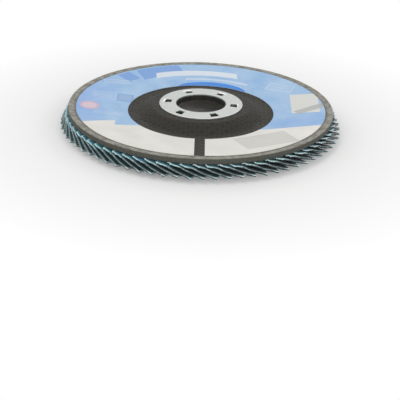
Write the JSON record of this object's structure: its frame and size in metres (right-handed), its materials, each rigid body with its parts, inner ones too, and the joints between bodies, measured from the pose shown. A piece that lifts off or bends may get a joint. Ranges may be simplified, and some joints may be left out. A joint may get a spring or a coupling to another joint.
{
  "type": "flap disc",
  "caption": "Flap disc for an angle grinder: overlapping abrasive cloth flaps glued under a dished fibreglass plate with a steel arbor ring.",
  "frame": {"origin": "centre of the bore on the face of the steel ring where the grinder's flange seats", "axes": "+Z along the bore axis towards the grinder, label side up; the label's split lies towards -Y"},
  "size_m": [0.125, 0.125, 0.0117],
  "materials": {
    "fibreglass": "dark resin-bonded glass cloth, matt, weave showing",
    "ring_steel": "pale zinc-plated sheet steel, satin",
    "label_paper": "printed paper, blue field over a warm white field",
    "resin": "cured grey-brown epoxy resin",
    "abrasive_cloth": "teal resin-filled cloth backing, dark grit coat, pale frayed cut edges"
  },
  "bodies": {
    "root": {"backing_plate": "fibreglass", "arbor_ring": "ring_steel", "label": "label_paper", "resin_bed": "resin", "flap_pair_01": "abrasive_cloth", "flap_pair_02": "abrasive_cloth", "flap_pair_03": "abrasive_cloth", "flap_pair_04": "abrasive_cloth", "flap_pair_05": "abrasive_cloth", "flap_pair_06": "abrasive_cloth", "flap_pair_07": "abrasive_cloth", "flap_pair_08": "abrasive_cloth", "flap_pair_09": "abrasive_cloth", "flap_pair_10": "abrasive_cloth", "flap_pair_11": "abrasive_cloth", "flap_pair_12": "abrasive_cloth", "flap_pair_13": "abrasive_cloth", "flap_pair_14": "abrasive_cloth", "flap_pair_15": "abrasive_cloth", "flap_pair_16": "abrasive_cloth", "flap_pair_17": "abrasive_cloth", "flap_pair_18": "abrasive_cloth", "flap_pair_19": "abrasive_cloth", "flap_pair_20": "abrasive_cloth", "flap_pair_21": "abrasive_cloth", "flap_pair_22": "abrasive_cloth", "flap_pair_23": "abrasive_cloth", "flap_pair_24": "abrasive_cloth", "flap_pair_25": "abrasive_cloth", "flap_pair_26": "abrasive_cloth", "flap_pair_27": "abrasive_cloth", "flap_pair_28": "abrasive_cloth", "flap_pair_29": "abrasive_cloth", "flap_pair_30": "abrasive_cloth", "flap_pair_31": "abrasive_cloth", "flap_pair_32": "abrasive_cloth", "flap_pair_33": "abrasive_cloth", "flap_pair_34": "abrasive_cloth", "flap_pair_35": "abrasive_cloth", "flap_pair_36": "abrasive_cloth"}
  },
  "joints": []
}
